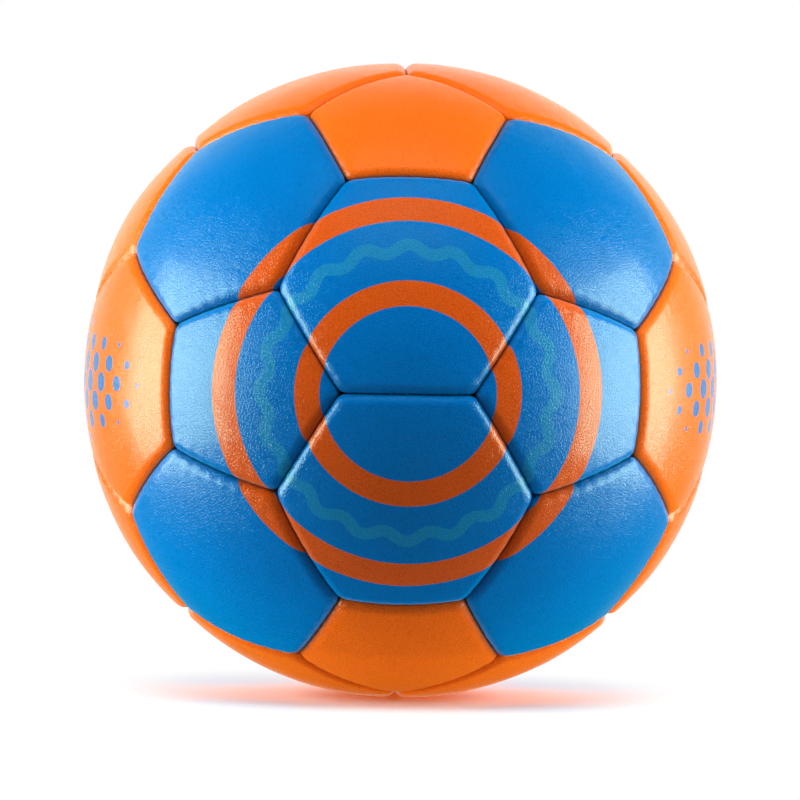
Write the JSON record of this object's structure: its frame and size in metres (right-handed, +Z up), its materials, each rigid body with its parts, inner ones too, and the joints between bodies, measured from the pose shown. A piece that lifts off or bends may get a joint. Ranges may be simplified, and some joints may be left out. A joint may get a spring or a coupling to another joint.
{
  "type": "handball",
  "caption": "Inflated handball with stitched hexagon and pentagon panels over a cloth backing and a rubber bladder with a needle valve.",
  "frame": {"origin": "the ball's middle", "axes": "+Z up; -Y is the front, towards the picture's camera; +X is the right as seen there; each axis passes through the middle of a seam between two hexagons"},
  "size_m": [0.174, 0.174, 0.174],
  "materials": {
    "blue_cover": "satin",
    "orange_cover": "satin",
    "backing_cloth": "matte",
    "thread": "satin",
    "bladder_rubber": "matte",
    "valve_rubber": "matte",
    "core_rubber": "matte"
  },
  "bodies": {
    "root": {"hexagon_front_bottom": "blue_cover", "hexagon_bottom_left": "orange_cover", "hexagon_left_front": "orange_cover", "hexagon_back_bottom": "blue_cover", "hexagon_top_left": "orange_cover", "hexagon_right_front": "orange_cover", "hexagon_front_top": "blue_cover", "hexagon_bottom_right": "orange_cover", "hexagon_left_back": "orange_cover", "hexagon_back_top": "blue_cover", "hexagon_top_right": "orange_cover", "hexagon_right_back": "orange_cover", "hexagon_bottom_front_left": "blue_cover", "hexagon_top_front_left": "blue_cover", "hexagon_bottom_back_left": "blue_cover", "hexagon_top_back_left": "blue_cover", "hexagon_bottom_front_right": "blue_cover", "hexagon_top_front_right": "blue_cover", "hexagon_bottom_back_right": "blue_cover", "hexagon_top_back_right": "blue_cover", "pentagon_bottom_front": "orange_cover", "pentagon_front_left": "blue_cover", "pentagon_left_bottom": "orange_cover", "pentagon_top_front": "orange_cover", "pentagon_back_left": "blue_cover", "pentagon_right_bottom": "orange_cover", "pentagon_bottom_back": "orange_cover", "pentagon_front_right": "blue_cover", "pentagon_left_top": "orange_cover", "pentagon_top_back": "orange_cover", "pentagon_back_right": "blue_cover", "pentagon_right_top": "orange_cover", "hexagon_backings": "backing_cloth", "pentagon_backings": "backing_cloth", "hexagon_stitching": "thread", "pentagon_stitching": "thread", "bladder": "bladder_rubber", "valve_patch": "valve_rubber", "valve_body": "valve_rubber", "valve_core": "core_rubber"}
  },
  "joints": []
}
